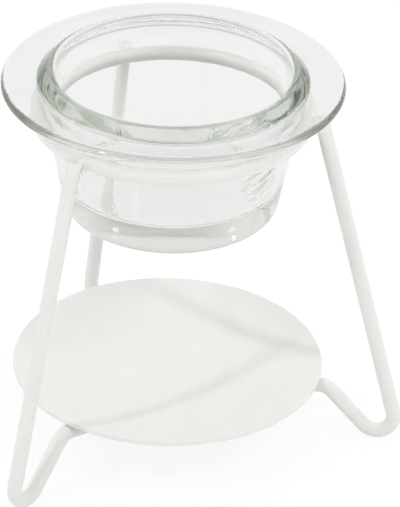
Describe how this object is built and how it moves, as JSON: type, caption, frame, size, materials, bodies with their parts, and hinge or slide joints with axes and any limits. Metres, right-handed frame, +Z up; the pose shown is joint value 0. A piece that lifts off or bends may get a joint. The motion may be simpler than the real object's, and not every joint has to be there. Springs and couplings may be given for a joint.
{
  "type": "wax melt warmer",
  "caption": "Tealight wax melt warmer: a tapered clear glass dish with a wide flat brim hangs in a white wire ring, on bent wire legs that carry a dished candle plate.",
  "frame": {"origin": "on the floor under the stand's upright axis, level with the undersides of the feet", "axes": "+Z up along the stand's axis; +X from the axis towards one leg; +Y to the back, so the other legs stand at 120 and 240 degrees from +X"},
  "size_m": [0.1159, 0.119, 0.1134],
  "materials": {
    "clear_glass": "clear pressed glass, faintly green at its thick edges",
    "white_paint": "satin white powder coat on steel"
  },
  "bodies": {
    "stand": {"support_ring": "white_paint", "ring_seam_weld": "white_paint", "leg_right": "white_paint", "leg_back": "white_paint", "leg_left": "white_paint", "ring_weld_right": "white_paint", "ring_weld_back": "white_paint", "ring_weld_left": "white_paint", "candle_plate": "white_paint", "plate_weld_right": "white_paint", "plate_weld_back": "white_paint", "plate_weld_left": "white_paint"},
    "dish": {"glass_dish": "clear_glass"}
  },
  "joints": [
    {"name": "dish_lift", "type": "slide", "parent": "stand", "child": "dish", "axis": [0, 0, 1], "range_m": [0, 0.05]}
  ]
}
